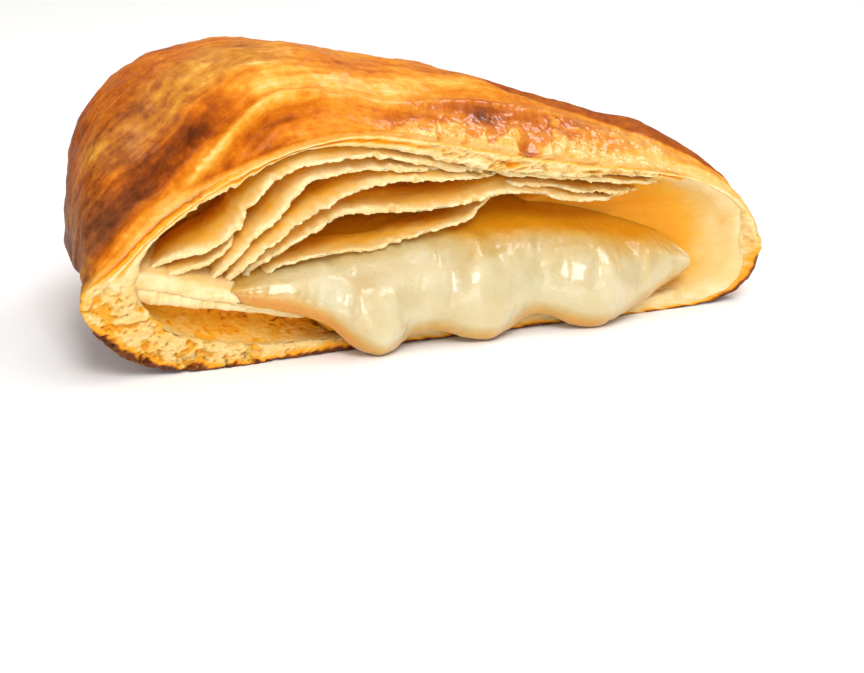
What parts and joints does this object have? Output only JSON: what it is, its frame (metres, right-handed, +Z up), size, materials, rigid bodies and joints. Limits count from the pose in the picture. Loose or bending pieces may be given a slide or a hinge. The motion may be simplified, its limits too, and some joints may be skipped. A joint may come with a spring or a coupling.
{
  "type": "cheese pastry",
  "caption": "Half of a round flaky pastry, cut through, with layered dough over a melted cheese filling that droops out of the cut.",
  "frame": {"origin": "under the middle of the whole box, on the surface that the pastry rests on", "axes": "+X along the cut face, +Y from the cut face into the pastry, +Z up"},
  "size_m": [0.104, 0.066, 0.0409],
  "materials": {
    "baked_pastry": "golden brown baked crust with a satin glaze, cream inside",
    "melted_cheese": "soft, glossy, slightly translucent"
  },
  "bodies": {
    "root": {"pastry": "baked_pastry", "cheese": "melted_cheese"}
  },
  "joints": []
}
